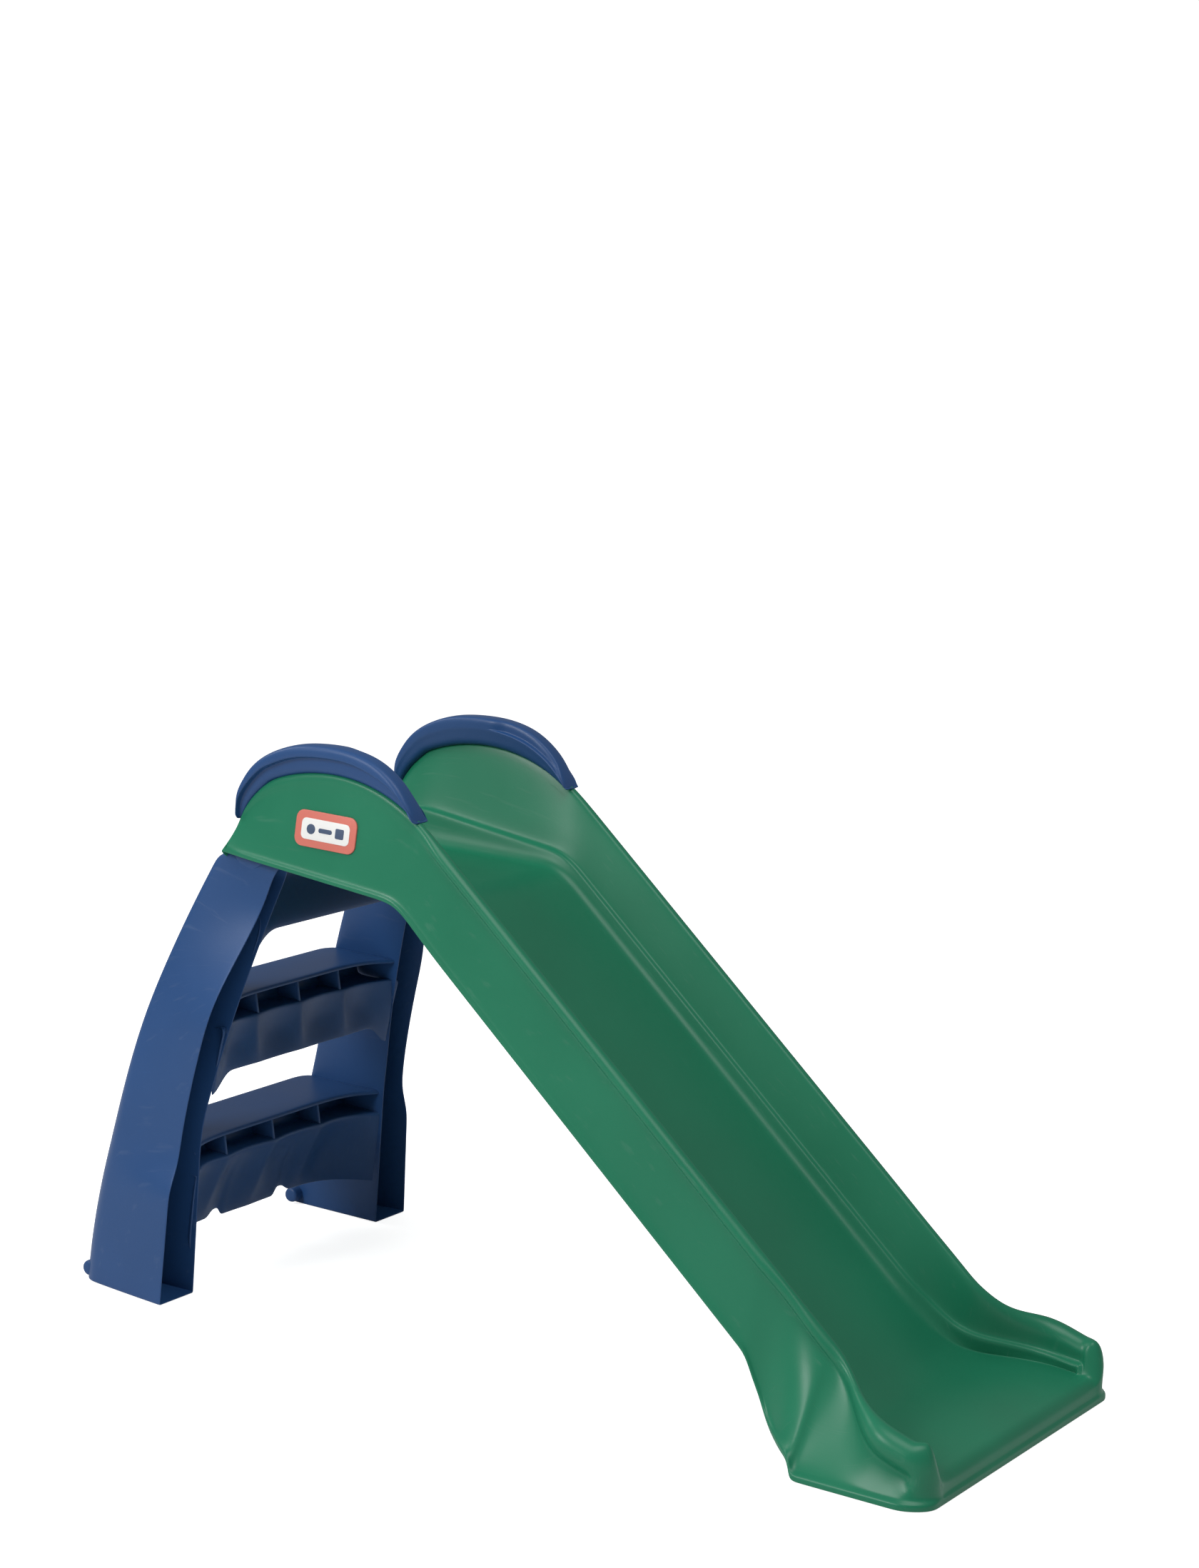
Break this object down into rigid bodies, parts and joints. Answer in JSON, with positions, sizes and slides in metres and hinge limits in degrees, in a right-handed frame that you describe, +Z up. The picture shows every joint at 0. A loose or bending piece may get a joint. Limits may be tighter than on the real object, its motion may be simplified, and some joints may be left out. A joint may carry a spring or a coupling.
{
  "type": "straight slide",
  "caption": "Folding toddler's first slide: green chute with raised sides, blue handrails and a blue two-step ladder hinged under its top.",
  "frame": {"origin": "bottom centre of the whole slide's bounding box, on the floor", "axes": "+X towards the exit, +Y to the left side as a child sits on it, +Z up"},
  "size_m": [0.965, 0.435, 0.5865],
  "materials": {
    "green_plastic": "semi-gloss moulded polyethylene",
    "blue_plastic": "semi-gloss moulded polyethylene",
    "badge_plastic": "raised label, satin",
    "screw_steel": "zinc plated",
    "pin_steel": "turned steel"
  },
  "bodies": {
    "chute": {"slide_bed": "green_plastic", "slide_exit_lip": "green_plastic", "slide_side_left": "green_plastic", "slide_side_right": "green_plastic", "handrail_left": "blue_plastic", "handrail_right": "blue_plastic", "badge_left": "badge_plastic", "badge_right": "badge_plastic", "handrail_screws": "screw_steel", "pivot_pin_left": "pin_steel", "pivot_pin_right": "pin_steel"},
    "ladder": {"ladder_rail_left": "blue_plastic", "ladder_rail_right": "blue_plastic", "ladder_step_upper": "blue_plastic", "ladder_step_lower": "blue_plastic", "ladder_crosspiece": "blue_plastic"}
  },
  "joints": [
    {"name": "ladder_fold", "type": "hinge", "parent": "chute", "child": "ladder", "pos_m": [-0.339, 0, 0.462], "axis": [0, -1, 0], "range_deg": [0, 57]}
  ]
}
